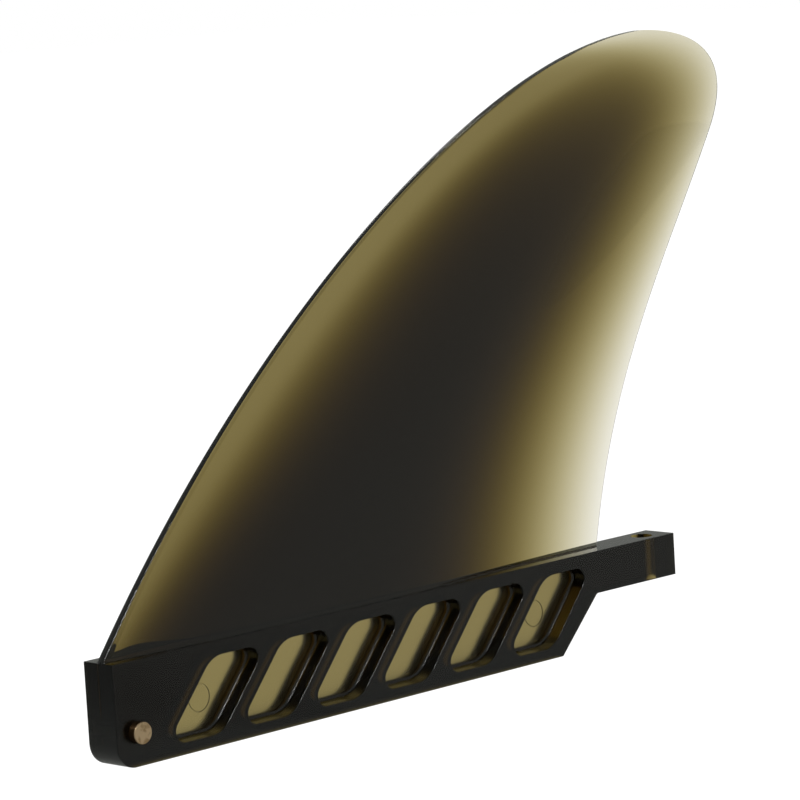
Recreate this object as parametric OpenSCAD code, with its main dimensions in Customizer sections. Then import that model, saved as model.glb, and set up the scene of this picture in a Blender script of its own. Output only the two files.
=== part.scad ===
// Surfboard centre fin: one translucent moulding, blade and tang together, with a brass cross pin.
// X runs along the tang towards the rear, Y is the thickness and Z points up to the tip.
// The origin is the middle of the tang's underside.

/* [Tang] */
// Length of the tang along its top, tab included
tang_len = 174.6; // [165:0.2:190]
// Height of the tang
tang_h = 22.3; // [20:0.1:25]
// Thickness of the tang, which slides into the fin box slot
tang_t = 9; // [8.6:0.1:9.4]
// Radius of the lower front corner
front_r = 5; // [3:0.5:8]
// Rounding of the tang's upright edges
edge_r = 0.6; // [0.3:0.1:1.2]

/* [Screw tab] */
// Height of the tab that takes the screw
tab_h = 9.8; // [7:0.1:11]
// Length of the tab's underside
tab_len = 27.4; // [22:0.2:34]
// Slope of the edge between the underside and the tab
heel_angle = 45; // [40:1:60]
// Rounding of the inside corner under the tab
heel_r = 1; // [0.5:0.1:3]
// Diameter of the screw hole
screw_d = 5; // [4:0.1:6]
// Distance from the screw hole's axis to the end of the tab
screw_inset = 6.4; // [5:0.1:9]

/* [Cross pin] */
// Diameter of the pin
pin_d = 4.7; // [4:0.1:5]
// Distance from the pin's axis to the front of the tang
pin_inset = 5.6; // [5:0.1:8]
// Height of the pin's axis over the underside
pin_rise = 7.3; // [6:0.1:11]
// How far each end of the pin stands out of the tang
pin_stand = 2; // [1:0.1:3]
// Chamfer of the pin's ends
pin_chamfer = 0.25; // [0.1:0.05:0.5]
// Radial clearance between the pin and its bore
pin_gap = 0.02; // [0.01:0.01:0.05]

/* [Side pockets] */
// Number of pockets along each side
pocket_n = 6; // [4:1:6]
// Distance from the front of the tang to the middle of the first pocket
pocket_start = 28.5; // [26:0.5:32]
// Distance from one pocket to the next
pocket_pitch = 20.5; // [19:0.1:21]
// Width of a pocket along the tang
pocket_w = 15.9; // [12:0.1:17]
// Height of a pocket
pocket_h = 16.6; // [13:0.1:18]
// Height of the rail under the pockets
rail_h = 2.6; // [2:0.1:4]
// Slope of the pockets from the underside
pocket_angle = 49.4; // [45:0.2:60]
// Rounding of a pocket's wide corners
wide_r = 6.8; // [4:0.1:8]
// Rounding of a pocket's narrow corners
narrow_r = 2.5; // [1.5:0.1:3]
// Thickness of the web left between the pockets of the two sides
web_t = 1.6; // [1.2:0.1:3]
// Draft of a pocket's walls
draft_angle = 3; // [1:0.5:6]
// Fillet where a pocket's wall meets the web
floor_r = 0.8; // [0.4:0.1:1]
// Rounding of a pocket's rim
rim_r = 0.35; // [0.2:0.05:0.5]

/* [Blade] */
// Distance from the front of the tang to the blade's foot
foot_inset = 0.5; // [0.3:0.1:3]
// Length of the blade's foot along the tang
foot_len = 152; // [140:1:160]
// Depth of the blade from the tang to the tip
blade_depth = 117.5; // [90:0.5:130]
// Sweep of the tip behind the blade's front foot
tip_sweep = 175.5; // [150:0.5:185]
// Reach of the rearmost point of the flank behind the front foot
flank_sweep = 199.5; // [185:0.5:210]
// Height of that point over the tang
flank_h = 93.5; // [80:0.5:95]
// Greatest thickness at the foot
root_t = 8.2; // [6:0.1:8.4]
// Greatest thickness at the tip
tip_t = 0.9; // [0.6:0.1:2]
// Thickness of the rounded front edge at the foot
nose_root_t = 2.4; // [1.5:0.1:3]
// Thickness of the rounded front edge at the tip
nose_tip_t = 1.2; // [0.8:0.1:2]
// Thickness of the rear edge
rear_edge_t = 0.4; // [0.3:0.05:0.8]
// Fillet between the blade and the tang
root_r = 1.2; // [0.6:0.1:2]

/* [Hidden] */

$fn = 64;
EPS = 0.01;

// How far a cutter runs past the face that it opens.
OVERCUT = 1;

// The tang's underside runs from the front corner to the heel.
tab_start = tang_len - tab_len;
tab_z = tang_h - tab_h;
heel_x = tab_start - tab_z / tan(heel_angle);
origin_x = (front_r + heel_x) / 2;
screw_x = tang_len - screw_inset;

// Pockets.
pocket_depth = (tang_t - web_t) / 2;
pocket_z = rail_h + pocket_h / 2;
ARC_STEPS = 5;
CORNER_STEPS = 12;
MIN_R = 0.2;

// Pull of the edge curves' handles, as shares of the blade's own sizes.
LE_RISE = [0.28, 0.567];
LE_ROUND = [0.72, 0.99];
TE_RISE = [0.04, 0.43];
TE_BACK = [0.149, 0.69];
TIP_OUT = [0.067, 0.198];
TIP_OVER = [0.02, 1];

// Foil: where the thickest line lies, and how full the front is, at the foot and over half depth.
CREST_ROOT = 0.37;
CREST_TIP = 0.44;
FULL_ROOT = 2;
FULL_UPPER = 1.35;
TAPER_POWER = 3.2;
REAR_POWER = 1.5;
FLANK_SHARE = 0.6;
NOSE_STEPS = 5;
BODY_STEPS = 15;
REAR_STEPS = 2;
SPAN_STEPS = 26;
ROOT_STEPS = 4;
TIP_END = 0.997;
SINK = 1;

// Largest shares of a short chord that its rounded front and rear edges take up.
NOSE_SHARE = 0.2;
REAR_SHARE = 0.125;

function lerp(a, b, t) = a + (b - a) * t;

function bezier(p, t) =
    pow(1 - t, 3) * p[0] + 3 * pow(1 - t, 2) * t * p[1]
    + 3 * (1 - t) * t * t * p[2] + pow(t, 3) * p[3];

// Points of an arc of radius r about c, from angle a0 to a1.
function arc(c, r, a0, a1, n = ARC_STEPS) =
    [for (i = [0:n]) c + r * [cos(lerp(a0, a1, i / n)), sin(lerp(a0, a1, i / n))]];

// Edges of the blade, as [x, z] points from the front of the tang and from the underside.
foot_front = [foot_inset, tang_h];
foot_rear = [foot_inset + foot_len, tang_h];
tip = foot_front + [tip_sweep, blade_depth];
flank_end = foot_front + [flank_sweep, flank_h];

leading_edge = [
    foot_front,
    foot_front + [LE_RISE[0] * tip_sweep, LE_RISE[1] * blade_depth],
    foot_front + [LE_ROUND[0] * tip_sweep, LE_ROUND[1] * blade_depth],
    tip
];
flank = [
    foot_rear,
    foot_rear + [TE_RISE[0] * flank_sweep, TE_RISE[1] * flank_h],
    foot_rear + [TE_BACK[0] * flank_sweep, TE_BACK[1] * flank_h],
    flank_end
];
tip_curve = [
    flank_end,
    flank_end + [TIP_OUT[0] * flank_sweep, TIP_OUT[1] * blade_depth],
    [tip[0] + TIP_OVER[0] * tip_sweep, tip[1]],
    tip
];

function front_point(s) = bezier(leading_edge, s);
function rear_point(s) =
    s < FLANK_SHARE
        ? bezier(flank, s / FLANK_SHARE)
        : bezier(tip_curve, (s - FLANK_SHARE) / (1 - FLANK_SHARE));

// Half thickness of a section d along its chord c, with its crest at m and front fullness q.
function foil(d, c, t_max, m, q, nose) =
    let (u = d / c, flat = min(nose, t_max))
    u < m
        ? lerp(flat, t_max, 1 - pow(1 - u / m, q)) / 2
        : lerp(min(rear_edge_t, t_max), t_max, pow(cos(90 * (u - m) / (1 - m)), REAR_POWER)) / 2;

// Share of the half thickness that is left where the front and rear edges round off.
function round_off(d, reach) = d < reach ? sqrt(1 - pow(1 - d / reach, 2)) : 1;

// Places along a chord: round the nose, over the body, round the rear edge.
function stations(c, nose_reach, rear_reach) = concat(
    [for (i = [1:NOSE_STEPS]) nose_reach * (1 - cos(90 * i / NOSE_STEPS))],
    [for (i = [1:BODY_STEPS]) lerp(nose_reach, c - rear_reach, i / BODY_STEPS)],
    [for (i = [1:REAR_STEPS - 1]) c - rear_reach * (1 - sin(90 * i / REAR_STEPS))]
);

// Widening of the blade's side where it runs into the tang, z over the tang's top.
function root_flare(z) = z < root_r ? root_r - sqrt(root_r * root_r - pow(root_r - z, 2)) : 0;

// One closed section of the blade at s, from 0 at the foot to 1 at the tip.
function section(s, drop = 0) =
    let (
        a = front_point(s),
        b = rear_point(s),
        c = norm(b - a),
        e = (b - a) / c,
        rise = max(0, (a[1] + b[1]) / 2 - tang_h),
        h = min(1, rise / blade_depth),
        t_max = lerp(tip_t, root_t, 1 - pow(h, TAPER_POWER)),
        m = lerp(CREST_ROOT, CREST_TIP, h),
        q = lerp(FULL_ROOT, FULL_UPPER, min(1, 2 * h)),
        nose = lerp(nose_root_t, nose_tip_t, h),
        nose_reach = min(nose / 2, NOSE_SHARE * c),
        rear_reach = min(rear_edge_t / 2, REAR_SHARE * c),
        d = stations(c, nose_reach, rear_reach),
        half = [for (x = d)
            min(
                foil(x, c, t_max, m, q, nose) * round_off(x, nose_reach) * round_off(c - x, rear_reach)
                + root_flare(rise),
                tang_t / 2 - EPS
            )],
        place = [for (x = d) a + e * x],
        n = len(d)
    )
    concat(
        [[a[0], 0, a[1] - drop]],
        [for (i = [0:n - 1]) [place[i][0], -half[i], place[i][1] - drop]],
        [[b[0], 0, b[1] - drop]],
        [for (i = [n - 1:-1:0]) [place[i][0], half[i], place[i][1] - drop]]
    );

// Closed skin over a stack of sections with the same number of points.
module skin(rings) {
    n = len(rings[0]);
    last = len(rings) - 1;
    points = [for (r = rings) each r];
    sides = [for (k = [0:last - 1], i = [0:n - 1])
        let (j = (i + 1) % n)
        each [
            [k * n + i, (k + 1) * n + i, (k + 1) * n + j],
            [k * n + i, (k + 1) * n + j, k * n + j]
        ]];
    bottom = [[for (i = [0:n - 1]) i]];
    top = [[for (i = [n - 1:-1:0]) last * n + i]];
    polyhedron(points = points, faces = concat(bottom, sides, top), convexity = 4);
}

module blade() {
    root_share = root_r / (3 * LE_RISE[1] * blade_depth);
    steps = concat(
        [for (i = [0:ROOT_STEPS - 1]) root_share * i / ROOT_STEPS],
        [for (i = [0:SPAN_STEPS]) lerp(root_share, TIP_END, i / SPAN_STEPS)]
    );
    skin(concat([section(0, SINK)], [for (s = steps) section(s)]));
}

// Side view of the tang: rounded front corner, flat underside, sloping heel and tab.
module tang_profile() {
    heel_c = [
        tab_start + heel_r * tan(heel_angle / 2),
        tab_z - heel_r
    ];
    polygon(concat(
        arc([front_r, front_r], front_r, 180, 270, CORNER_STEPS),
        [[heel_x, 0]],
        arc(heel_c, heel_r, 90 + heel_angle, 90),
        [[tang_len, tab_z], [tang_len, tang_h], [0, tang_h]]
    ));
}

// Plan of the tang, with its upright edges rounded.
module tang_plan() {
    for (x = [edge_r, tang_len - edge_r], y = [-1, 1])
        translate([x, y * (tang_t / 2 - edge_r)])
            circle(edge_r);
    translate([edge_r, -tang_t / 2])
        square([tang_len - 2 * edge_r, tang_t]);
    translate([0, -tang_t / 2 + edge_r])
        square([tang_len, tang_t - 2 * edge_r]);
}

module tang() {
    intersection() {
        rotate([90, 0, 0])
            linear_extrude(tang_t + 2 * OVERCUT, center = true)
                tang_profile();
        linear_extrude(tang_h)
            tang_plan();
    }
}

// Outline of a pocket about its middle, drawn in by inset on every side.
function pocket_outline(inset) =
    let (
        h = pocket_h / 2 - inset,
        half_w = pocket_w / 2 - inset / sin(pocket_angle),
        lean = h / tan(pocket_angle),
        wide = wide_r - inset,
        narrow = max(narrow_r - inset, MIN_R),
        wide_cut = wide * tan(pocket_angle / 2),
        narrow_cut = narrow / tan(pocket_angle / 2)
    )
    concat(
        arc([-half_w - lean + narrow_cut, -h + narrow], narrow, 90 + pocket_angle, 270),
        arc([half_w - lean - wide_cut, -h + wide], wide, 270, 270 + pocket_angle),
        arc([half_w + lean - narrow_cut, h - narrow], narrow, pocket_angle - 90, 90),
        arc([-half_w + lean + wide_cut, h - wide], wide, 90, 90 + pocket_angle)
    );

// Cutter for one pocket on the near side, from the web out past the tang's face.
module pocket_cutter() {
    wall_in = (pocket_depth - floor_r) * tan(draft_angle);
    levels = concat(
        [for (a = [90, 60, 30, 0]) [
            pocket_depth - floor_r * (1 - sin(a)),
            wall_in + floor_r * (1 - cos(a))
        ]],
        [for (a = [90, 45, 0]) [rim_r * (1 - cos(a)), rim_r * (sin(a) - 1)]],
        [[-OVERCUT, -rim_r]]
    );
    skin([for (l = levels)
        [for (p = pocket_outline(l[1])) [p[0], l[0] - tang_t / 2, p[1]]]]);
}

module pockets() {
    for (i = [0:pocket_n - 1])
        translate([pocket_start + i * pocket_pitch, 0, pocket_z]) {
            pocket_cutter();
            mirror([0, 1, 0])
                pocket_cutter();
        }
}

module fin() {
    color([0.2, 0.19, 0.13])
        translate([-origin_x, 0, 0])
            difference() {
                union() {
                    tang();
                    blade();
                }
                pockets();
                translate([screw_x, 0, tab_z - OVERCUT])
                    cylinder(d = screw_d, h = tab_h + 2 * OVERCUT);
                translate([pin_inset, 0, pin_rise])
                    rotate([90, 0, 0])
                        cylinder(r = pin_d / 2 + pin_gap, h = tang_t + 2 * OVERCUT, center = true);
            }
}

module cross_pin() {
    r = pin_d / 2;
    half_len = tang_t / 2 + pin_stand;
    color([0.78, 0.55, 0.3])
        translate([pin_inset - origin_x, 0, pin_rise])
            rotate([90, 0, 0])
                rotate_extrude()
                    polygon([
                        [0, -half_len],
                        [r - pin_chamfer, -half_len],
                        [r, pin_chamfer - half_len],
                        [r, half_len - pin_chamfer],
                        [r - pin_chamfer, half_len],
                        [0, half_len]
                    ]);
}

fin();
cross_pin();
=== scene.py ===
"""Looks for a raked surfboard centre fin: smoked plastic moulding and brass cross pin.

Everything is in metres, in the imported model's own frame: X runs along the tang to the
rear, Y is the thickness and Z points up the blade. The origin is the middle of the
tang's underside.
"""

import logging
import math
from dataclasses import dataclass, field
from enum import Enum
from typing import Callable, Sequence

import bmesh
import bpy
from mathutils import Matrix, Vector


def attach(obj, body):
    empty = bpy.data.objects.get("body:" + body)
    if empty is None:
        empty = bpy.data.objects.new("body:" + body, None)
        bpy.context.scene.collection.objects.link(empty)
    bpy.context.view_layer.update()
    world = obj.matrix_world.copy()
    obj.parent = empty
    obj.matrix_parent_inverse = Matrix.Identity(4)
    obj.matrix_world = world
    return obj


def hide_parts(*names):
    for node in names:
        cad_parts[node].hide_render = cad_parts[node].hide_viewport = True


MM = 0.001
Point = tuple[float, float]
Law = tuple[float, float, float]
Colour = tuple[float, float, float, float]

logging.basicConfig(level=logging.INFO, format="%(name)s: %(message)s")
LOG = logging.getLogger("fin")

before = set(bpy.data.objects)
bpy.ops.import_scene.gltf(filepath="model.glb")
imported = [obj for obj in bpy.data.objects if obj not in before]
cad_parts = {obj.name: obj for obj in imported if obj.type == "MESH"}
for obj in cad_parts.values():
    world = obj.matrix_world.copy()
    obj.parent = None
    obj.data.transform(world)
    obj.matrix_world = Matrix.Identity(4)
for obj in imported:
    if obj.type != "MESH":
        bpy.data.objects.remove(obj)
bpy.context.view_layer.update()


# Small tools for working by hand in edit mode.


def lerp(a: float, b: float, t: float) -> float:
    """Value at the share t of the way from a to b."""
    return a + (b - a) * t


def law(v: Law, h: float) -> float:
    """Value at h up the blade of a law given by its foot, middle and tip handles."""
    return (1 - h) ** 2 * v[0] + 2 * h * (1 - h) * v[1] + h * h * v[2]


def round_off(d: float, reach: float) -> float:
    """Share of a thickness that is left at d from an edge that is rounded over reach."""
    return math.sqrt(1 - (1 - d / reach) ** 2) if d < reach else 1.0


def bezier(p: Sequence[Point], t: float) -> Point:
    """Point at t on a cubic curve.

    Args:
        p: The curve's four handles.
        t: Place on the curve, 0 to 1.

    Returns:
        The point, as a pair.
    """
    w = ((1 - t) ** 3, 3 * (1 - t) ** 2 * t, 3 * (1 - t) * t * t, t**3)
    return (sum(k * q[0] for k, q in zip(w, p)), sum(k * q[1] for k, q in zip(w, p)))


def arc(cx: float, cz: float, r: float, a0: float, a1: float, steps: int) -> list[Point]:
    """Points of an arc about (cx, cz), from angle a0 to a1 in degrees."""
    angles = [math.radians(lerp(a0, a1, i / steps)) for i in range(steps + 1)]
    return [(cx + r * math.cos(a), cz + r * math.sin(a)) for a in angles]


def deselect_all() -> None:
    """Leaves object mode with nothing selected."""
    if bpy.context.mode != "OBJECT":
        bpy.ops.object.mode_set(mode="OBJECT")
    bpy.ops.object.select_all(action="DESELECT")


def only(obj: bpy.types.Object) -> bpy.types.Object:
    """Makes obj the one selected and active object."""
    deselect_all()
    obj.select_set(True)
    bpy.context.view_layer.objects.active = obj
    return obj


def apply_place(obj: bpy.types.Object) -> None:
    """Moves the object's place, turn and scale into its mesh."""
    only(obj)
    bpy.ops.object.transform_apply(location=True, rotation=True, scale=True)


def select_faces(obj: bpy.types.Object, test: Callable[[bmesh.types.BMFace], bool]) -> int:
    """Selects in edit mode the faces that pass a test.

    Args:
        obj: The object, already in edit mode.
        test: Says of one face whether it is wanted.

    Returns:
        How many faces were selected.
    """
    bpy.ops.mesh.select_mode(type="FACE")
    bpy.ops.mesh.select_all(action="DESELECT")
    work = bmesh.from_edit_mesh(obj.data)
    found = [f for f in work.faces if test(f)]
    for f in found:
        f.select_set(True)
    bmesh.update_edit_mesh(obj.data)
    return len(found)


def select_edges(obj: bpy.types.Object, test: Callable[[bmesh.types.BMEdge], bool]) -> int:
    """Selects in edit mode the edges that pass a test.

    Args:
        obj: The object, already in edit mode.
        test: Says of one edge whether it is wanted.

    Returns:
        How many edges were selected.
    """
    bpy.ops.mesh.select_mode(type="EDGE")
    bpy.ops.mesh.select_all(action="DESELECT")
    work = bmesh.from_edit_mesh(obj.data)
    found = [e for e in work.edges if test(e)]
    for e in found:
        e.select_set(True)
    bmesh.update_edit_mesh(obj.data)
    return len(found)


def middle(edge: bmesh.types.BMEdge) -> Vector:
    """Middle of an edge."""
    return (edge.verts[0].co + edge.verts[1].co) / 2


def run_along(edge: bmesh.types.BMEdge) -> Vector:
    """Direction of an edge, with no negative parts."""
    d = (edge.verts[1].co - edge.verts[0].co).normalized()
    return Vector((abs(d.x), abs(d.y), abs(d.z)))


def cut(target: bpy.types.Object, tool: bpy.types.Object, operation: str) -> None:
    """Joins a tool shape to a target, or takes it away, and deletes the tool.

    Args:
        target: The shape that is changed.
        tool: The closed shape that it is joined to or cut by.
        operation: UNION or DIFFERENCE.
    """
    only(target)
    mod = target.modifiers.new("shape", "BOOLEAN")
    mod.operation = operation
    mod.solver = "EXACT"
    mod.object = tool
    bpy.ops.object.modifier_apply(modifier=mod.name)
    bpy.data.objects.remove(tool)


def stack_of_rings(name: str, rings: Sequence[Sequence[Vector]]) -> bpy.types.Object:
    """Closed skin over a stack of outlines, made by bridging circles.

    Each outline starts as a circle primitive whose points are moved to their places. The
    outlines are bridged one to the next and the two ends are filled.

    Args:
        name: Name of the new object.
        rings: Outlines with the same number of points, in order.

    Returns:
        The new object, at the origin.
    """
    deselect_all()
    count = len(rings[0])
    bpy.ops.mesh.primitive_circle_add(vertices=count, radius=1.0)
    obj = bpy.context.object
    obj.name = name
    bpy.ops.object.mode_set(mode="EDIT")
    for _ in rings[1:]:
        bpy.ops.mesh.primitive_circle_add(vertices=count, radius=1.0)
    work = bmesh.from_edit_mesh(obj.data)
    work.verts.ensure_lookup_table()
    for k, ring in enumerate(rings):
        for i, p in enumerate(ring):
            work.verts[k * count + i].co = p
    bmesh.update_edit_mesh(obj.data)
    bpy.ops.mesh.select_mode(type="EDGE")
    bpy.ops.mesh.select_all(action="SELECT")
    bpy.ops.mesh.bridge_edge_loops()
    bpy.ops.mesh.select_all(action="DESELECT")
    bpy.ops.mesh.select_non_manifold(extend=False)
    bpy.ops.mesh.edge_face_add()
    bpy.ops.mesh.select_all(action="SELECT")
    bpy.ops.mesh.normals_make_consistent(inside=False)
    bpy.ops.object.mode_set(mode="OBJECT")
    return obj


# Materials.


class Wire:
    """A shader socket that maths can be written with."""

    def __init__(self, paint: "Paint", socket: bpy.types.NodeSocket) -> None:
        """Wraps one output socket of a paint's node tree."""
        self.paint = paint
        self.socket = socket

    def _math(self, operation: str, a: "Wire | float", b: "Wire | float") -> "Wire":
        """Adds a Math node on a and b."""
        return self.paint.add("ShaderNodeMath", {"operation": operation}, {0: a, 1: b})

    def __add__(self, other: "Wire | float") -> "Wire":
        """This plus other."""
        return self._math("ADD", self, other)

    def __radd__(self, other: float) -> "Wire":
        """Other plus this."""
        return self._math("ADD", other, self)

    def __sub__(self, other: "Wire | float") -> "Wire":
        """This less other."""
        return self._math("SUBTRACT", self, other)

    def __rsub__(self, other: float) -> "Wire":
        """Other less this."""
        return self._math("SUBTRACT", other, self)

    def __mul__(self, other: "Wire | float") -> "Wire":
        """This times other."""
        return self._math("MULTIPLY", self, other)

    def __rmul__(self, other: float) -> "Wire":
        """Other times this."""
        return self._math("MULTIPLY", other, self)


class Paint:
    """One material under construction."""

    def __init__(self, tree: bpy.types.NodeTree) -> None:
        """Empties the node tree and keeps it."""
        self.tree = tree
        self.tree.nodes.clear()

    def add(
        self,
        kind: str,
        settings: dict[str, object] | None = None,
        inputs: dict[int | str, object] | None = None,
        output: int | str = 0,
    ) -> Wire:
        """Adds one node.

        Args:
            kind: The node's type.
            settings: Attributes that are set first; "stops" holds a ramp's colours.
            inputs: Values or wires for its input sockets.
            output: Which output the returned wire holds.

        Returns:
            A wire on the node's output.
        """
        node = self.tree.nodes.new(kind)
        for key, value in (settings or {}).items():
            if key == "stops":
                for i, (place, colour) in enumerate(value):
                    stops = node.color_ramp.elements
                    stop = stops[i] if i < len(stops) else stops.new(place)
                    stop.position = place
                    stop.color = colour
            else:
                setattr(node, key, value)
        for key, value in (inputs or {}).items():
            if isinstance(value, Wire):
                self.tree.links.new(value.socket, node.inputs[key])
            else:
                node.inputs[key].default_value = value
        return Wire(self, node.outputs[output] if node.outputs else None)

    def place(self) -> Wire:
        """Object coordinates."""
        return self.add("ShaderNodeTexCoord", output="Object")

    def noise(self, scale: float, detail: float = 2.0, place: Wire | None = None) -> Wire:
        """Noise from 0 to 1, with about scale features to a metre."""
        return self.add(
            "ShaderNodeTexNoise",
            inputs={"Vector": place or self.place(), "Scale": scale, "Detail": detail},
        )

    def spread(self, value: Wire, low: float, high: float) -> Wire:
        """Value of 0 to 1 spread between low and high."""
        return value * (high - low) + low

    def band(self, value: Wire, low: float, high: float) -> Wire:
        """Goes from 0 to 1 as value goes from low to high."""
        return self.add(
            "ShaderNodeMapRange",
            {"interpolation_type": "SMOOTHSTEP"},
            {"Value": value, "From Min": low, "From Max": high},
        )

    def bump(self, height: Wire, strength: float, distance: float) -> Wire:
        """Normal of a bump whose height runs from 0 to 1 over distance."""
        return self.add(
            "ShaderNodeBump",
            inputs={"Height": height, "Strength": strength, "Distance": distance},
        )


def new_material(name: str) -> tuple[bpy.types.Material, Paint]:
    """A new node material and the paint that fills it."""
    material = bpy.data.materials.new(name)
    material.use_nodes = True
    return material, Paint(material.node_tree)


@dataclass(frozen=True)
class SmokedPlastic:
    """Polished translucent moulding, clear at its thin edges and black where it is thick."""

    tint: Colour = (0.477, 0.40, 0.038, 1.0)
    density: float = 1300.0
    ior: float = 1.58
    blade_roughness: tuple[float, float] = (0.015, 0.05)
    tang_roughness: tuple[float, float] = (0.15, 0.26)
    ripple: float = 0.02
    tang_top: float = 22.3 * MM

    def make(self) -> bpy.types.Material:
        """Builds the material.

        Returns:
            The finished material.
        """
        material, p = new_material("smoked_plastic")
        z = p.add("ShaderNodeSeparateXYZ", inputs={0: p.place()}, output="Z")
        blade = p.band(z, self.tang_top - 0.0004, self.tang_top + 0.0004)
        haze = p.noise(90.0, 3.0)
        polished = p.spread(haze, *self.blade_roughness)
        moulded = p.spread(haze, *self.tang_roughness)
        roughness = blade * polished + (1 - blade) * moulded
        flow = p.noise(35.0, 2.0)
        grain = p.noise(1600.0, 1.0)
        height = (1 - blade) * (flow * 0.5 + grain * 0.2)
        surface = p.add(
            "ShaderNodeBsdfPrincipled",
            inputs={
                "Base Color": p.add(
                    "ShaderNodeMix",
                    {"data_type": "RGBA"},
                    {0: flow, 6: (0.97, 0.97, 0.95, 1.0), 7: (1.0, 1.0, 0.985, 1.0)},
                    output=2,
                ),
                "Roughness": roughness,
                "IOR": self.ior,
                "Transmission Weight": 1.0,
                "Normal": p.bump(height, self.ripple, 0.0004),
            },
        )
        inside = p.add(
            "ShaderNodeVolumeAbsorption",
            inputs={"Color": self.tint, "Density": self.density},
        )
        p.add("ShaderNodeOutputMaterial", inputs={"Surface": surface, "Volume": inside})
        return material


@dataclass(frozen=True)
class Brass:
    """Cut brass rod, with turned rings on its ends and a little tarnish; its barrel is painted
    near black as painted shade.
    """

    bright: Colour = (0.90, 0.66, 0.41, 1.0)
    dull: Colour = (0.58, 0.38, 0.20, 1.0)
    roughness: tuple[float, float] = (0.28, 0.5)
    # Near-black colour of the pin's barrel: painted shade for the side that falls dark, not the
    # brass's own colour.
    painted_shade_barrel: Colour = (0.10, 0.058, 0.028, 1.0)
    cut_end: float = 6.2 * MM

    def make(self) -> bpy.types.Material:
        """Builds the material.

        Returns:
            The finished material.
        """
        material, p = new_material("brass")
        stain = p.noise(700.0, 3.0)
        scratches = p.noise(4000.0, 2.0)
        y = p.add("ShaderNodeSeparateXYZ", inputs={0: p.place()}, output="Y")
        out = p.add("ShaderNodeMath", {"operation": "ABSOLUTE"}, {0: y})
        cut_face = p.add(
            "ShaderNodeMix",
            {"data_type": "RGBA"},
            {0: p.band(stain, 0.48, 0.72), 6: self.bright, 7: self.dull},
            output=2,
        )
        surface = p.add(
            "ShaderNodeBsdfPrincipled",
            inputs={
                # The barrel, within cut_end of the middle, takes the painted shade colour; only
                # the cut ends show the brass.
                "Base Color": p.add(
                    "ShaderNodeMix",
                    {"data_type": "RGBA"},
                    {
                        0: p.band(out, self.cut_end - 0.0001, self.cut_end),
                        6: self.painted_shade_barrel,
                        7: cut_face,
                    },
                    output=2,
                ),
                "Metallic": 1.0,
                "Roughness": p.spread(stain, *self.roughness),
                "Normal": p.bump(scratches, 0.3, 0.00003),
            },
        )
        p.add("ShaderNodeOutputMaterial", inputs={"Surface": surface})
        return material


# The moulding.


class Side(Enum):
    """Which side of the fin a feature is on."""

    NEAR = -1
    FAR = 1


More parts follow.
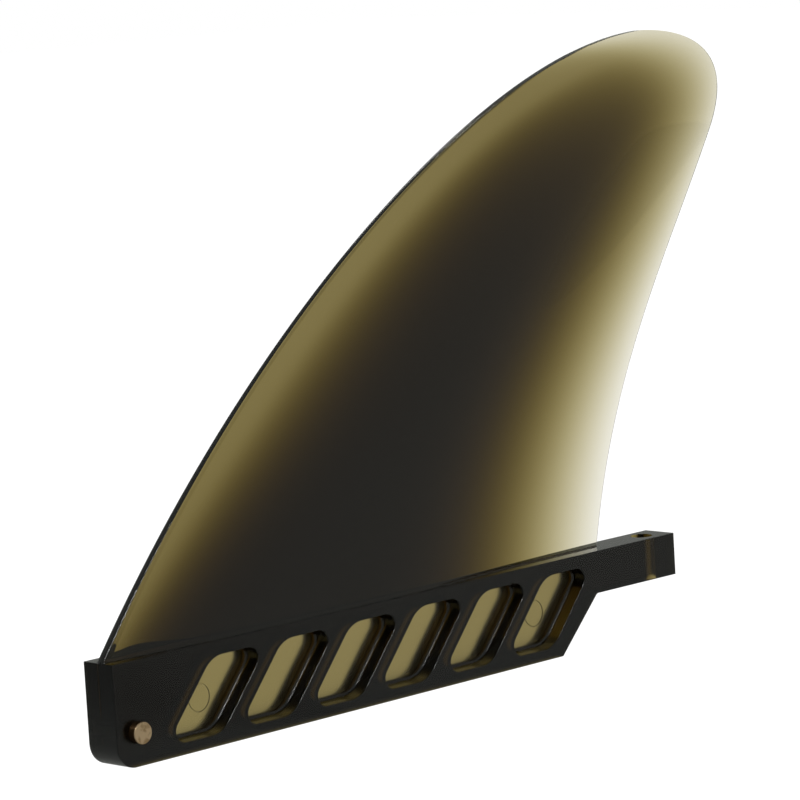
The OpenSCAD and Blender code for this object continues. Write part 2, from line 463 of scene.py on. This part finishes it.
@dataclass
class Blade:
    """The foiled blade: a front and a rear edge curve with a foil section between them."""

    foot_x: float = 0.5
    foot_len: float = 152.0
    depth: float = 117.5
    tip_sweep: float = 175.5
    flank_sweep: float = 199.5
    flank_h: float = 93.5
    root_t: float = 8.2
    tip_t: float = 1.1
    nose_t: Law = (2.5, 1.92, 2.2)
    nose_rise: float = 0.15
    nose_r: float = 0.42
    rear_t: Law = (0.2, 0.2, 0.45)
    root_r: float = 0.3
    sink: float = 1.0
    front_start: Law = (2.0, -0.33, 0.85)
    front_slope: Law = (0.236, 0.005, 0.5)
    front_fade: float = 2.3
    rear_slope: Law = (0.035, 0.03, 0.17)
    rear_bend: float = 0.00144
    rear_fade: float = 5.8
    taper_power: float = 3.1
    nose_blend: float = 8.0
    foil_blend: float = 6.0
    strip_t: Law = (2.1, 1.0, 1.8)
    shoulder: Law = (1.75, 1.35, 1.4)
    shoulder_power: float = 1.2
    rear_r: float = 0.04
    flank_share: float = 0.6
    tip_end: float = 0.997
    chord_steps: int = 96
    span_steps: int = 150
    round_steps: int = 10
    root_steps: int = 8

    def front(self, s: float, top: float) -> Point:
        """Point at s on the front edge, over a tang of height top."""
        x, z = self.foot_x, top
        return bezier(
            (
                (x, z),
                (x + 0.28 * self.tip_sweep, z + 0.567 * self.depth),
                (x + 0.72 * self.tip_sweep, z + 0.99 * self.depth),
                (x + self.tip_sweep, z + self.depth),
            ),
            s,
        )

    def rear(self, s: float, top: float) -> Point:
        """Point at s on the rear edge, over a tang of height top."""
        x, z = self.foot_x + self.foot_len, top
        end = (self.foot_x + self.flank_sweep, top + self.flank_h)
        if s < self.flank_share:
            return bezier(
                (
                    (x, z),
                    (x + 0.04 * self.flank_sweep, z + 0.43 * self.flank_h),
                    (x + 0.149 * self.flank_sweep, z + 0.69 * self.flank_h),
                    end,
                ),
                s / self.flank_share,
            )
        tip = (self.foot_x + self.tip_sweep, top + self.depth)
        return bezier(
            (
                end,
                (end[0] + 0.067 * self.flank_sweep, end[1] + 0.198 * self.depth),
                (tip[0] + 0.02 * self.tip_sweep, tip[1]),
                tip,
            ),
            (s - self.flank_share) / (1 - self.flank_share),
        )

    def thickness(self, d: float, chord: float, h: float) -> float:
        """Thickness of a section: front ramp, sheet or rear ramp, the least of the three.

        Args:
            d: Distance from the front edge along the chord.
            chord: Length of the chord.
            h: Height of the section, as a share of the blade's depth.

        Returns:
            The blade's thickness there, in millimetres.
        """
        rise = (1 - h**self.front_fade) * law(self.front_slope, h) * d
        ramp = max(0.05, law(self.front_start, h) + rise)
        power = self.nose_blend
        front = (law(self.nose_t, h) ** power + ramp**power) ** (1 / power)
        r = chord - d
        rise = law(self.rear_slope, h) * r + self.rear_bend * r * r
        rear = law(self.rear_t, h) + (1 - h**self.rear_fade) * rise
        sheet = lerp(self.tip_t, self.root_t, 1 - h**self.taper_power)
        power = -self.foil_blend
        return (front**power + rear**power + sheet**power) ** (1 / power)

    def section(self, s: float, top: float, drop: float, origin: float) -> list[Vector]:
        """One closed outline of the blade.

        Args:
            s: Place of the section, 0 at the foot and 1 at the tip.
            top: Height of the tang's top.
            drop: How far the outline is sunk below its place.
            origin: The origin's distance from the front of the tang.

        Returns:
            The outline's points, in metres.
        """
        a = self.front(s, top)
        b = self.rear(s, top)
        chord = math.dist(a, b)
        e = ((b[0] - a[0]) / chord, (b[1] - a[1]) / chord)
        rise = max(0.0, (a[1] + b[1]) / 2 - top)
        h = min(1.0, rise / self.depth)
        nose_reach = min(law(self.shoulder, h), 0.2 * chord)
        lead = min(self.nose_rise, 0.2 * nose_reach)
        r = min(self.nose_r, 0.3 * nose_reach)
        rear_reach = min(self.rear_r, 0.125 * chord)
        n = self.round_steps
        stations = [lerp(lead + r, nose_reach, i / n) for i in range(n + 1)]
        m = self.chord_steps
        stations += [lerp(nose_reach, chord - rear_reach, i / m) for i in range(1, m + 1)]
        stations += [
            chord - rear_reach * (1 - math.sin(math.pi / 2 * i / 3)) for i in (1, 2)
        ]
        flare = 0.0
        if rise < self.root_r:
            flare = self.root_r - math.sqrt(self.root_r**2 - (self.root_r - rise) ** 2)
        full = self.thickness(lead, chord, h)
        share = law(self.strip_t, h) / full
        strip = full / 2 * share
        half = [
            (lead + r + r * math.cos(a), strip - r + r * math.sin(a))
            for a in (math.radians(lerp(172, 106, i / n)) for i in range(n + 1))
        ]
        for d in stations:
            t = self.thickness(d, chord, h) / 2
            if d < nose_reach:
                climb = 1 - (1 - (d - lead - r) / (nose_reach - lead - r)) ** self.shoulder_power
                t *= lerp(share, 1, climb)
            half.append((d, t * round_off(chord - d, rear_reach)))
        half = [(d, min(t + flare, 4.49)) for d, t in half]

        def at(d: float, y: float) -> Vector:
            """Point at d along the chord and y across it."""
            return Vector(
                (a[0] + e[0] * d - origin, y, a[1] + e[1] * d - drop)
            ) * MM

        return (
            [at(0.0, 0.0)]
            + [at(d, -t) for d, t in half]
            + [at(chord, 0.0)]
            + [at(d, t) for d, t in reversed(half)]
        )

    def build(self, top: float, origin: float) -> bpy.types.Object:
        """Skins the blade over its sections.

        Args:
            top: Height of the tang's top.
            origin: The origin's distance from the front of the tang.

        Returns:
            The closed blade, sunk a little into the tang.
        """
        root_share = self.root_r / (3 * 0.567 * self.depth)
        steps = [root_share * i / self.root_steps for i in range(self.root_steps)]
        steps += [
            lerp(root_share, self.tip_end, i / self.span_steps)
            for i in range(self.span_steps + 1)
        ]
        rings = [self.section(0.0, top, self.sink, origin)]
        rings += [self.section(s, top, 0.0, origin) for s in steps]
        return stack_of_rings("blade", rings)


@dataclass
class Pockets:
    """The slanted pockets along both sides of the tang."""

    count: int = 6
    start: float = 28.5
    pitch: float = 20.5
    width: float = 15.9
    height: float = 16.6
    rail: float = 2.6
    slope: float = 49.4
    wide_r: float = 6.8
    narrow_r: float = 2.5
    web: float = 1.9
    draft: float = 3.0
    floor_r: float = 0.8
    rim_r: float = 0.35
    corner_steps: int = 12
    ejectors: tuple[Point, ...] = ((26.2, 10.35), (129.2, 10.6))
    ejector_d: float = 5.9
    groove: float = 0.14
    vent: Point = (29.6, 13.5)
    vent_r: float = 0.8

    def outline(self, inset: float) -> list[Point]:
        """The pocket's outline about its middle, drawn in by inset on every side."""
        a = self.slope
        tan = math.tan(math.radians(a))
        half = math.tan(math.radians(a / 2))
        h = self.height / 2 - inset
        w = self.width / 2 - inset / math.sin(math.radians(a))
        lean = h / tan
        wide = self.wide_r - inset
        narrow = max(self.narrow_r - inset, 0.2)
        n = self.corner_steps
        return (
            arc(-w - lean + narrow / half, -h + narrow, narrow, 90 + a, 270, n)
            + arc(w - lean - wide * half, -h + wide, wide, 270, 270 + a, n)
            + arc(w + lean - narrow / half, h - narrow, narrow, a - 90, 90, n)
            + arc(-w + lean + wide * half, h - wide, wide, 90, 90 + a, n)
        )

    def cutter(self, thickness: float, side: Side, x: float) -> bpy.types.Object:
        """The shape of one pocket, from the web out past the tang's face.

        Args:
            thickness: The tang's thickness.
            side: The side that the pocket opens to.
            x: Place of the pocket's middle in the frame, in millimetres.

        Returns:
            The closed cutter.
        """
        depth = (thickness - self.web) / 2
        wall = (depth - self.floor_r) * math.tan(math.radians(self.draft))
        levels: list[Point] = []
        for a in (90, 72, 54, 36, 18, 0):
            r = math.radians(a)
            levels.append(
                (
                    depth - self.floor_r * (1 - math.sin(r)),
                    wall + self.floor_r * (1 - math.cos(r)),
                )
            )
        for a in (90, 60, 30, 0):
            r = math.radians(a)
            levels.append((self.rim_r * (1 - math.cos(r)), self.rim_r * (math.sin(r) - 1)))
        levels.append((-1.0, -self.rim_r))
        z = self.rail + self.height / 2
        rings = [
            [
                Vector((x + p[0], side.value * (thickness / 2 - deep), z + p[1])) * MM
                for p in self.outline(inset)
            ]
            for deep, inset in levels
        ]
        return stack_of_rings("pocket", rings)


    def mark(self, target: bpy.types.Object, origin: float) -> None:
        """Cuts the ejector pins' ring grooves and a vent's dimple in the near web.

        Args:
            target: The moulding that they are cut in.
            origin: The origin's distance from the front of the tang.
        """
        y = Side.NEAR.value * self.web / 2 * MM
        for x, z in self.ejectors:
            deselect_all()
            bpy.ops.mesh.primitive_torus_add(
                major_radius=self.ejector_d / 2 * MM,
                minor_radius=self.groove * MM,
                major_segments=72,
                minor_segments=10,
                location=((x - origin) * MM, y, z * MM),
                rotation=(math.pi / 2, 0, 0),
            )
            ring = bpy.context.object
            apply_place(ring)
            cut(target, ring, "DIFFERENCE")
        deselect_all()
        bpy.ops.mesh.primitive_uv_sphere_add(
            segments=24,
            ring_count=12,
            radius=self.vent_r * MM,
            location=(
                (self.vent[0] - origin) * MM,
                y + Side.NEAR.value * 0.9 * self.vent_r * MM,
                self.vent[1] * MM,
            ),
        )
        ball = bpy.context.object
        apply_place(ball)
        cut(target, ball, "DIFFERENCE")


@dataclass
class Tang:
    """The tang that fits the fin box, with its screw tab and bores."""

    length: float = 174.6
    height: float = 22.3
    thickness: float = 9.0
    front_r: float = 5.0
    edge_r: float = 0.6
    trim_r: float = 0.2
    tab_h: float = 9.8
    tab_len: float = 27.4
    heel_r: float = 1.0
    screw_d: float = 5.0
    screw_inset: float = 6.4
    pin_bore_d: float = 4.74
    pin_x: float = 5.6
    pin_z: float = 7.3
    parting: float = 0.1

    @property
    def tab_z(self) -> float:
        """Height of the tab's underside."""
        return self.height - self.tab_h

    @property
    def heel_x(self) -> float:
        """Distance from the front to the end of the flat underside."""
        return self.length - self.tab_len - self.tab_z

    @property
    def origin(self) -> float:
        """The origin's distance from the front of the tang."""
        return (self.front_r + self.heel_x) / 2

    def body(self) -> bpy.types.Object:
        """Models the tang from a block, with its heel, tab and rounded edges.

        Returns:
            The tang without its pockets and bores.
        """
        deselect_all()
        bpy.ops.mesh.primitive_cube_add(
            size=1.0,
            location=((self.heel_x / 2 - self.origin) * MM, 0, self.height / 2 * MM),
            scale=(self.heel_x * MM, self.thickness * MM, self.height * MM),
        )
        tang = bpy.context.object
        tang.name = "moulding"
        apply_place(tang)
        bpy.ops.object.mode_set(mode="EDIT")
        bpy.ops.mesh.select_mode(type="FACE")
        bpy.ops.mesh.select_all(action="SELECT")
        bpy.ops.mesh.bisect(plane_co=(0, 0, self.tab_z * MM), plane_no=(0, 0, 1))
        rear = (self.heel_x - self.origin) * MM
        tiny = 1e-6
        select_faces(
            tang,
            lambda f: f.normal.x > 0.9 and f.calc_center_median().z > self.tab_z * MM,
        )
        reach = (self.length - self.heel_x) * MM
        bpy.ops.mesh.extrude_region_move(TRANSFORM_OT_translate={"value": (reach, 0, 0)})
        select_edges(
            tang,
            lambda e: abs(middle(e).x - rear) < tiny
            and abs(middle(e).z - self.tab_z * MM) < tiny
            and run_along(e).y > 0.9,
        )
        bpy.ops.transform.translate(value=(self.tab_z * MM, 0, 0))
        bpy.ops.mesh.select_all(action="SELECT")
        bpy.ops.mesh.dissolve_limited(angle_limit=math.radians(1))
        front = -self.origin * MM
        select_edges(
            tang,
            lambda e: abs(middle(e).x - front) < tiny
            and abs(middle(e).z) < tiny
            and run_along(e).y > 0.9,
        )
        bpy.ops.mesh.bevel(offset=self.front_r * MM, segments=24, affect="EDGES")
        heel = (self.heel_x + self.tab_z - self.origin) * MM
        select_edges(
            tang,
            lambda e: abs(middle(e).x - heel) < tiny
            and abs(middle(e).z - self.tab_z * MM) < tiny
            and run_along(e).y > 0.9,
        )
        bpy.ops.mesh.bevel(offset=0.41 * self.heel_r * MM, segments=6, affect="EDGES")
        side = self.thickness / 2 * MM
        select_edges(
            tang,
            lambda e: all(abs(abs(v.co.y) - side) < tiny for v in e.verts)
            and run_along(e).y < 0.1,
        )
        bpy.ops.mesh.bevel(offset=self.trim_r * MM, segments=3, affect="EDGES")
        bpy.ops.object.mode_set(mode="OBJECT")
        return tang

    def drill(self, target: bpy.types.Object) -> None:
        """Cuts the screw hole and the pin's bore.

        Args:
            target: The moulding that they are cut in.
        """
        bores = (
            (self.screw_d, self.length - self.screw_inset, self.tab_z + self.tab_h / 2, 0.0),
            (self.pin_bore_d, self.pin_x, self.pin_z, math.pi / 2),
        )
        for diameter, x, z, turn in bores:
            deselect_all()
            bpy.ops.mesh.primitive_cylinder_add(
                vertices=96,
                radius=diameter / 2 * MM,
                depth=20 * MM,
                location=((x - self.origin) * MM, 0, z * MM),
                rotation=(turn, 0, 0),
            )
            drill = bpy.context.object
            apply_place(drill)
            cut(target, drill, "DIFFERENCE")

    def part_line(self, target: bpy.types.Object) -> None:
        """Cuts the fine groove that the mould's parting leaves down the front face.

        Args:
            target: The moulding that it is cut in.
        """
        foot = self.front_r + self.parting
        deselect_all()
        bpy.ops.mesh.primitive_cylinder_add(
            vertices=16,
            radius=self.parting * MM,
            depth=(self.height - foot - self.parting) * MM,
            location=(-self.origin * MM, 0, (self.height + foot - self.parting) / 2 * MM),
        )
        groove = bpy.context.object
        apply_place(groove)
        cut(target, groove, "DIFFERENCE")


@dataclass
class Moulding:
    """Blade, tang and pockets in one shot of plastic."""

    blade: Blade = field(default_factory=Blade)
    tang: Tang = field(default_factory=Tang)
    pockets: Pockets = field(default_factory=Pockets)
    finish: SmokedPlastic = field(default_factory=SmokedPlastic)
    smooth_angle: float = 32.0

    def build(self) -> bpy.types.Object:
        """Models, smooths and dresses the moulding.

        Returns:
            The finished piece.
        """
        piece = self.tang.body()
        cut(piece, self.blade.build(self.tang.height, self.tang.origin), "UNION")
        for side in Side:
            for i in range(self.pockets.count):
                x = self.pockets.start + i * self.pockets.pitch - self.tang.origin
                cut(piece, self.pockets.cutter(self.tang.thickness, side, x), "DIFFERENCE")
        self.pockets.mark(piece, self.tang.origin)
        self.tang.drill(piece)
        self.tang.part_line(piece)
        only(piece)
        bpy.ops.object.mode_set(mode="EDIT")
        bpy.ops.mesh.select_all(action="SELECT")
        bpy.ops.mesh.remove_doubles(threshold=1e-6)
        bpy.ops.mesh.normals_make_consistent(inside=False)
        bpy.ops.object.mode_set(mode="OBJECT")
        bpy.ops.object.shade_smooth_by_angle(angle=math.radians(self.smooth_angle))
        mod = piece.modifiers.new("even", "WEIGHTED_NORMAL")
        mod.keep_sharp = True
        bpy.ops.object.modifier_apply(modifier=mod.name)
        piece.data.materials.clear()
        piece.data.materials.append(self.finish.make())
        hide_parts("fin")
        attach(piece, "root")
        return piece


@dataclass
class CrossPin:
    """The brass pin, with chamfered ends that show how they were cut."""

    diameter: float = 4.7
    x: float = 5.6
    z: float = 7.3
    length: float = 13.0
    chamfer: float = 0.25
    face_rings: tuple[float, ...] = (0.35, 0.75, 1.2)
    ring_depth: float = 0.035
    finish: Brass = field(default_factory=Brass)

    def build(self, origin: float) -> bpy.types.Object:
        """Turns the pin from a rod.

        Args:
            origin: The origin's distance from the front of the tang.

        Returns:
            The finished piece.
        """
        deselect_all()
        place = Vector(((self.x - origin) * MM, 0, self.z * MM))
        bpy.ops.mesh.primitive_cylinder_add(
            vertices=64,
            radius=self.diameter / 2 * MM,
            depth=self.length * MM,
            location=place,
            rotation=(math.pi / 2, 0, 0),
        )
        pin = bpy.context.object
        pin.name = "brass_pin"
        apply_place(pin)
        bpy.ops.object.mode_set(mode="EDIT")
        select_edges(pin, lambda e: run_along(e).y < 0.1)
        bpy.ops.mesh.bevel(offset=self.chamfer * MM, segments=2, affect="EDGES")
        for step in self.face_rings:
            select_faces(
                pin,
                lambda f: abs(f.normal.y) > 0.99
                and (f.calc_center_median() - place).xz.length < 1e-5,
            )
            bpy.ops.mesh.inset(thickness=step / 2 * MM, depth=-self.ring_depth * MM)
        bpy.ops.mesh.select_all(action="SELECT")
        bpy.ops.mesh.normals_make_consistent(inside=False)
        bpy.ops.object.mode_set(mode="OBJECT")
        bpy.ops.object.shade_smooth_by_angle(angle=math.radians(25))
        pin.data.materials.append(self.finish.make())
        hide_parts("cross_pin")
        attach(pin, "root")
        return pin


# The studio.


@dataclass
class PhotoCamera:
    """The camera at the photograph's angle, fitted to the tang's edges."""

    lens: float = 182.95
    place: tuple[float, float, float] = (-0.600183, -0.629692, 0.179229)
    view: tuple[float, float, float] = (0.696964, 0.705474, -0.128638)
    up: tuple[float, float, float] = (0.13269, 0.049416, 0.989925)
    shift: tuple[float, float] = (-0.0006, 0.0011)

    def build(self) -> bpy.types.Object:
        """Adds the camera and makes it the scene's own."""
        data = bpy.data.cameras.new("camera")
        data.lens = self.lens
        data.sensor_width = 36.0
        data.sensor_fit = "HORIZONTAL"
        data.clip_start = 0.01
        data.shift_x, data.shift_y = self.shift
        camera = bpy.data.objects.new("camera", data)
        bpy.context.scene.collection.objects.link(camera)
        back = -Vector(self.view).normalized()
        right = Vector(self.up).cross(back).normalized()
        up = back.cross(right)
        turn = Matrix((right, up, back)).transposed().to_4x4()
        camera.matrix_world = Matrix.Translation(self.place) @ turn
        bpy.context.scene.camera = camera
        return camera


@dataclass
class Studio:
    """Plain pale floor, white surroundings and soft lamps."""

    floor_size: float = 6.0
    floor_colour: Colour = (0.85, 0.85, 0.85, 1.0)
    ground_glow: float = 1.2
    ground_share: float = 0.85
    in_gloss: float = 0.3
    gloss_tint: Colour = (0.97, 1.0, 0.93, 1.0)
    as_light: float = 0.5
    backdrop_way: tuple[float, float, float] = (0.70, 0.71, -0.08)
    backdrop_edge: tuple[float, float] = (0.2, 0.5)
    off_backdrop: float = 0.06
    front_dark: tuple[float, float] = (-0.14, -0.06)
    lamps: tuple[tuple[str, Vector, float, float], ...] = (
        ("key", Vector((-0.9, -0.5, 1.1)), 0.6, 6.0),
        ("rim", Vector((0.38, 0.88, 0.86)), 0.3, 0.4),
        ("top", Vector((0.31, 0.30, 1.24)), 0.25, 1.2),
    )

    def ray(self, p: Paint, kind: str) -> Wire:
        """1 for rays of a kind, such as Is Camera Ray, and 0 for the rest."""
        return p.add("ShaderNodeLightPath", output=kind)

    def seen_white(self, p: Paint) -> Wire:
        """1 for the rays that show the white ground, 0 for the rest."""
        return p.add(
            "ShaderNodeMath",
            {"operation": "MAXIMUM"},
            {0: self.ray(p, "Is Camera Ray"), 1: self.ray(p, "Is Transmission Ray")},
        )

    def whiteness(self, p: Paint, behind: Wire) -> Wire:
        """How white the ground shows there: all to the camera, and behind the fin.

        Args:
            p: The paint of the floor or the world.
            behind: 1 where the ground lies behind the fin, 0 in the room beside it.

        Returns:
            1 where it is white, down to the dark of the room.
        """
        camera = self.ray(p, "Is Camera Ray")
        return camera + (1 - camera) * p.spread(behind, self.off_backdrop, 1.0)

    def seen_colour(self, p: Paint, gloss: Wire) -> Wire:
        """White, or the tint of the dim ground that gloss shows."""
        return p.add(
            "ShaderNodeMix",
            {"data_type": "RGBA"},
            {0: gloss, 6: (1.0, 1.0, 1.0, 1.0), 7: self.gloss_tint},
            output=2,
        )

    def floor(self) -> bpy.types.Object:
        """Adds the floor, which keeps the fin's shadow.

        The camera sees it white, and rays through the plastic see it white behind the fin. Under
        the tang and just behind it they see a painted contact shadow, and in front the dark of
        the room.
        Gloss shows it as dim as the rest of the ground, so no line between floor and backdrop
        shows in the blade.
        """
        deselect_all()
        bpy.ops.mesh.primitive_plane_add(size=self.floor_size, location=(0, 0, 0))
        floor = bpy.context.object
        floor.name = "floor"
        material, p = new_material("floor")
        white = self.seen_white(p)
        gloss = self.ray(p, "Is Glossy Ray") * (1 - white)
        lit = p.add("ShaderNodeBsdfDiffuse", inputs={"Color": self.floor_colour})
        y = p.add("ShaderNodeSeparateXYZ", inputs={0: p.place()}, output="Y")
        x = p.add("ShaderNodeSeparateXYZ", inputs={0: p.place()}, output="X")
        side = p.spread(p.band(x, *self.front_dark), 0.45, 1.0)
        # For rays through the plastic, the floor turns white only from 4 to 20 mm behind the
        # fin's middle. Under the tang and just behind it, it stays dim as a painted contact
        # shadow.
        glow = p.add(
            "ShaderNodeEmission",
            inputs={
                "Color": self.seen_colour(p, gloss),
                "Strength": white * self.whiteness(p, p.band(y, 0.004, 0.02)) * self.ground_glow
                + gloss * side * self.in_gloss,
            },
        )
        share = white * self.ground_share + gloss
        mix = p.add("ShaderNodeMixShader", inputs={0: share, 1: lit, 2: glow})
        p.add("ShaderNodeOutputMaterial", inputs={"Surface": mix})
        floor.data.materials.append(material)
        return floor

    def world(self) -> None:
        """White to the camera and through the plastic, dimmer in gloss and as light."""
        world = bpy.data.worlds.new("studio")
        world.use_nodes = True
        p = Paint(world.node_tree)
        white = self.seen_white(p)
        gloss = self.ray(p, "Is Glossy Ray") * (1 - white)
        way = p.add("ShaderNodeTexCoord", output="Generated")
        along = p.add(
            "ShaderNodeVectorMath",
            {"operation": "DOT_PRODUCT"},
            {0: way, 1: self.backdrop_way},
            output="Value",
        )
        strength = (
            white * self.whiteness(p, p.band(along, *self.backdrop_edge))
            + gloss * self.in_gloss
            + (1 - white) * (1 - gloss) * self.as_light
        )
        back = p.add(
            "ShaderNodeBackground",
            inputs={"Color": self.seen_colour(p, gloss), "Strength": strength},
        )
        p.add("ShaderNodeOutputWorld", inputs={"Surface": back})
        bpy.context.scene.world = world

    def light(self) -> None:
        """Hangs the soft lamps."""
        aim = Vector((0.0, 0.0, 0.06))
        for name, place, size, power in self.lamps:
            data = bpy.data.lights.new(name, "AREA")
            data.shape = "DISK"
            data.size = size
            data.energy = power
            lamp = bpy.data.objects.new(name, data)
            lamp.location = place
            lamp.rotation_euler = (aim - place).to_track_quat("-Z", "Y").to_euler()
            bpy.context.scene.collection.objects.link(lamp)

    def build(self) -> None:
        """Sets up the whole studio."""
        self.floor()
        self.world()
        self.light()
        bpy.context.scene.view_settings.view_transform = "Standard"


def report(piece: bpy.types.Object) -> None:
    """Logs a piece's triangle count."""
    count = sum(len(p.vertices) - 2 for p in piece.data.polygons)
    LOG.info("%s: %d triangles", piece.name, count)


def main() -> None:
    """Builds the camera, the fin, its pin and the studio."""
    PhotoCamera().build()
    moulding = Moulding()
    report(moulding.build())
    report(CrossPin().build(moulding.tang.origin))
    Studio().build()


if __name__ == "__main__":
    main()
